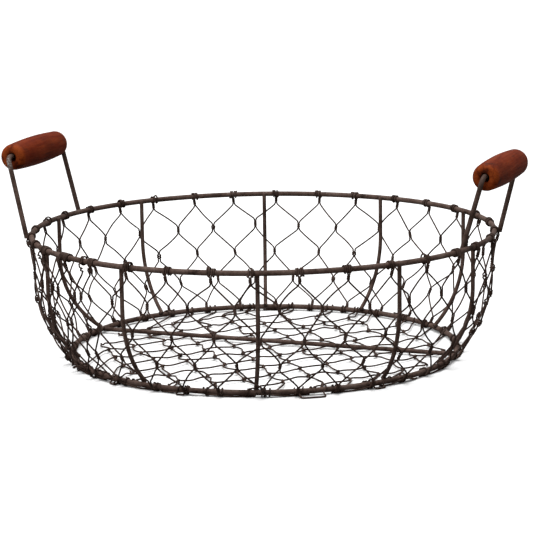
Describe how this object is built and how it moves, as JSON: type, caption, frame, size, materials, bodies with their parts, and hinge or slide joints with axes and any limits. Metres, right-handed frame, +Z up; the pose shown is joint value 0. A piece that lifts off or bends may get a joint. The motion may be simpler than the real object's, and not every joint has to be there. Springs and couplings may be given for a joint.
{
  "type": "wire produce basket",
  "caption": "Round open wire basket with bowl-shaped ribs, hexagonal wire netting and two upright bail handles with spinning turned-wood grips.",
  "frame": {"origin": "on the basket's vertical axis, at the surface it stands on", "axes": "+Z up; +X from the left handle towards the right handle, across the basket; Y parallel to the left grip"},
  "size_m": [0.3404, 0.3099, 0.1416],
  "materials": {
    "frame_wire": "aged dark brown steel, satin",
    "netting_wire": "aged dark brown steel, satin",
    "grip_wood": "stained red-brown turned hardwood, worn satin"
  },
  "bodies": {
    "basket": {"rim_ring": "frame_wire", "base_ring": "frame_wire", "base_rod": "frame_wire", "rib_01": "frame_wire", "rib_02": "frame_wire", "rib_03": "frame_wire", "rib_04": "frame_wire", "rib_05": "frame_wire", "rib_06": "frame_wire", "rib_07": "frame_wire", "rib_08": "frame_wire", "rib_09": "frame_wire", "rib_10": "frame_wire", "handle_left": "frame_wire", "handle_right": "frame_wire", "wall_netting": "netting_wire", "floor_netting": "netting_wire"},
    "grip_left": {"grip_left": "grip_wood"},
    "grip_right": {"grip_right": "grip_wood"}
  },
  "joints": [
    {"name": "left_grip_spin", "type": "hinge", "parent": "basket", "child": "grip_left", "pos_m": [-0.16, -0.0065, 0.13185], "axis": [0, 1, 0], "continuous": true},
    {"name": "right_grip_spin", "type": "hinge", "parent": "basket", "child": "grip_right", "pos_m": [0.16, 0, 0.12785], "axis": [0.0558, 0.9984, 0], "continuous": true}
  ]
}
